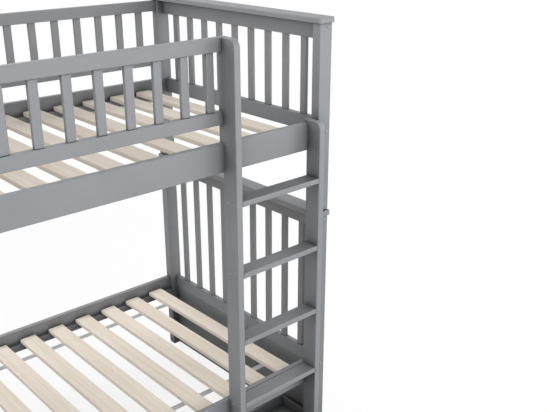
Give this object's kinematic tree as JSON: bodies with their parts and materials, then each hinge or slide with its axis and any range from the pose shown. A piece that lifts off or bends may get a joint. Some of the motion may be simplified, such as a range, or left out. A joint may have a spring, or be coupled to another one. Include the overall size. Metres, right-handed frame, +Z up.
{
  "type": "bunk bed",
  "caption": "Twin-over-twin wooden bunk bed: two slatted single beds stacked on pins, with a front ladder, guard rails round the upper bed and a low storage tray under the lower one.",
  "frame": {"origin": "floor level, at the middle of the whole outline including the ladder", "axes": "+X along the bed towards the ladder end, -Y is the ladder side, +Z up"},
  "size_m": [2.046, 1.1388, 1.791],
  "materials": {
    "grey_paint": "satin grey paint over solid pine",
    "slat_pine": "planed pale pine, unfinished",
    "webbing": "woven grey polyester webbing",
    "bolt_covers": "matte grey moulded covers and steel shanks",
    "black_plastic": "matte black moulded feet",
    "steel": "bright zinc-plated steel"
  },
  "bodies": {
    "lower_bunk": {"lower_bolts": "bolt_covers", "lower_end_cap_left": "grey_paint", "lower_end_cap_right": "grey_paint", "lower_end_mid_rail_left": "grey_paint", "lower_end_mid_rail_right": "grey_paint", "lower_end_panel_left": "grey_paint", "lower_end_panel_right": "grey_paint", "lower_end_spindles_left": "grey_paint", "lower_end_spindles_right": "grey_paint", "lower_end_top_rail_left": "grey_paint", "lower_end_top_rail_right": "grey_paint", "lower_foot_glides": "black_plastic", "lower_post_back_left": "grey_paint", "lower_post_back_right": "grey_paint", "lower_post_front_left": "grey_paint", "lower_post_front_right": "grey_paint", "lower_side_rail_back": "grey_paint", "lower_side_rail_front": "grey_paint", "lower_slat_ledgers": "grey_paint", "stack_pins": "steel", "tray_cross_boards": "grey_paint", "tray_feet": "grey_paint", "tray_floor": "grey_paint", "tray_long_boards": "grey_paint"},
    "upper_bunk": {"back_guard_bottom_rail": "grey_paint", "back_guard_spindles": "grey_paint", "back_guard_top_rail": "grey_paint", "front_guard_bottom_rail": "grey_paint", "front_guard_spindles": "grey_paint", "front_guard_top_rail": "grey_paint", "ladder_rung_1": "grey_paint", "ladder_rung_2": "grey_paint", "ladder_rung_3": "grey_paint", "ladder_rung_4": "grey_paint", "ladder_rung_5": "grey_paint", "ladder_screws": "steel", "ladder_stile_left": "grey_paint", "ladder_stile_right": "grey_paint", "upper_bolts": "bolt_covers", "upper_end_bottom_rail_left": "grey_paint", "upper_end_bottom_rail_right": "grey_paint", "upper_end_cap_left": "grey_paint", "upper_end_cap_right": "grey_paint", "upper_end_spindles_left": "grey_paint", "upper_end_spindles_right": "grey_paint", "upper_end_top_rail_left": "grey_paint", "upper_end_top_rail_right": "grey_paint", "upper_foot_glides": "black_plastic", "upper_post_back_left": "grey_paint", "upper_post_back_right": "grey_paint", "upper_post_front_left": "grey_paint", "upper_post_front_right": "grey_paint", "upper_side_rail_back": "grey_paint", "upper_side_rail_front": "grey_paint", "upper_slat_ledgers": "grey_paint"},
    "lower_slat_roll": {"lower_slats": "slat_pine", "lower_slat_webbing": "webbing"},
    "upper_slat_roll": {"upper_slats": "slat_pine", "upper_slat_webbing": "webbing"}
  },
  "joints": [
    {"name": "upper_lift", "type": "slide", "parent": "lower_bunk", "child": "upper_bunk", "axis": [0, 0, 1], "range_m": [0, 0.3]},
    {"name": "lower_slats_lift", "type": "slide", "parent": "lower_bunk", "child": "lower_slat_roll", "axis": [0, 0, 1], "range_m": [0, 0.4]},
    {"name": "upper_slats_lift", "type": "slide", "parent": "upper_bunk", "child": "upper_slat_roll", "axis": [0, 0, 1], "range_m": [0, 0.5]}
  ]
}
